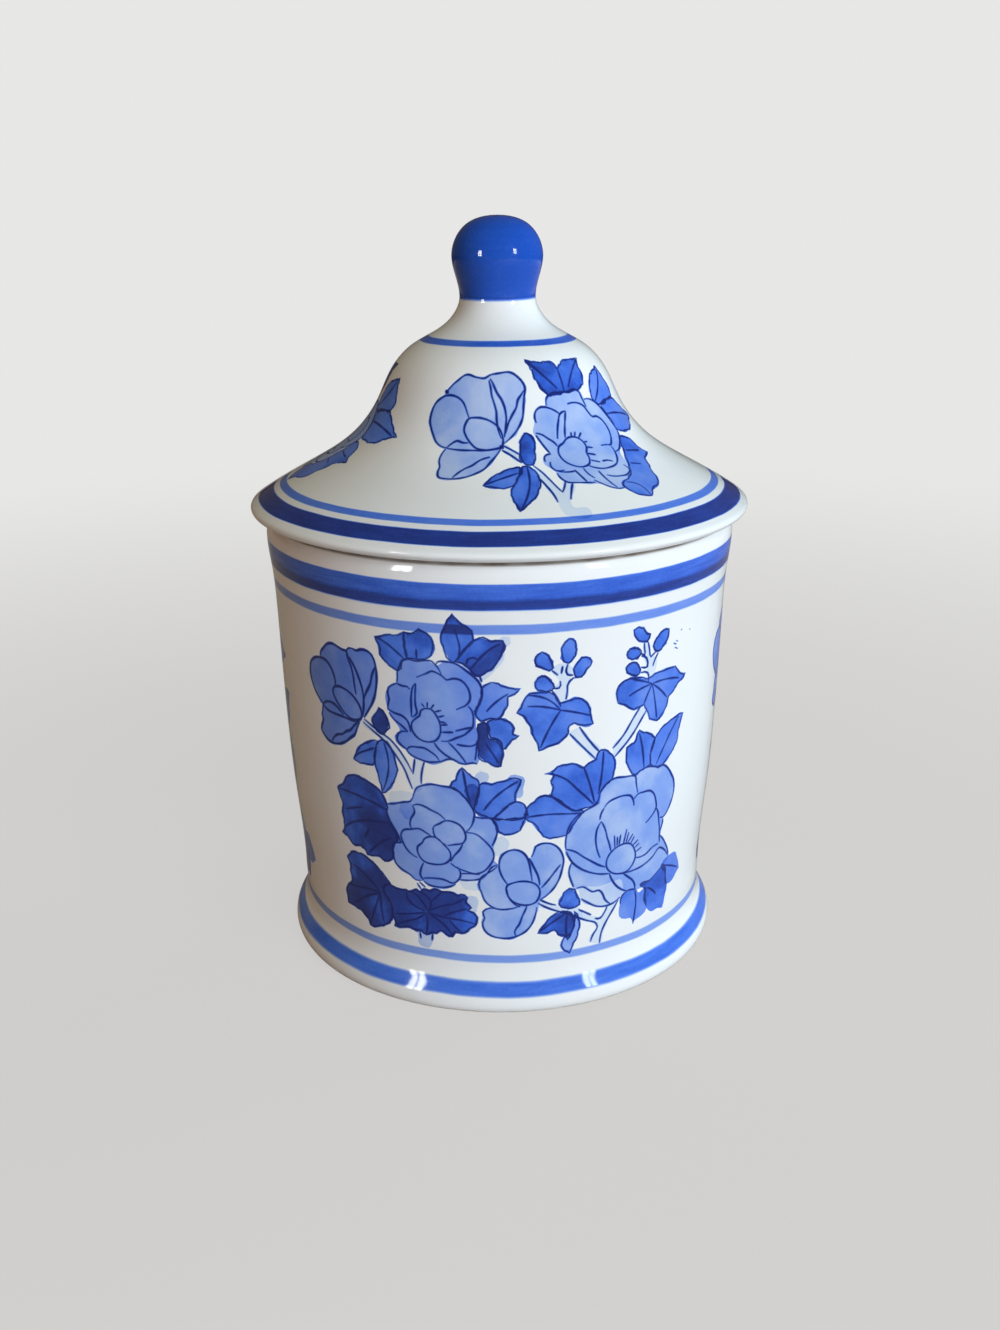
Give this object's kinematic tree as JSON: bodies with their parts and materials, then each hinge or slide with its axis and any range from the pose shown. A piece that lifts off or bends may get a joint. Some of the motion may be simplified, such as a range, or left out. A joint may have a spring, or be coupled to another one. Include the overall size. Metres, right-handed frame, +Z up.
{
  "type": "lidded jar",
  "caption": "Glazed porcelain canister with a waisted wall, a flared foot and a bell-shaped lift-off lid with a ball knob, painted in blue.",
  "frame": {"origin": "centre of the foot ring on the surface the jar stands on", "axes": "+Z up along the axis that every piece is turned about, -Y towards the painted front"},
  "size_m": [0.1206, 0.1206, 0.1779],
  "materials": {
    "white_glaze": "gloss",
    "cobalt_glaze": "gloss"
  },
  "bodies": {
    "jar": {"jar_body": "white_glaze"},
    "lid": {"lid": "white_glaze", "lid_knob": "cobalt_glaze"}
  },
  "joints": [
    {"name": "lid_lift", "type": "slide", "parent": "jar", "child": "lid", "axis": [0, 0, 1], "range_m": [0, 0.12]}
  ]
}
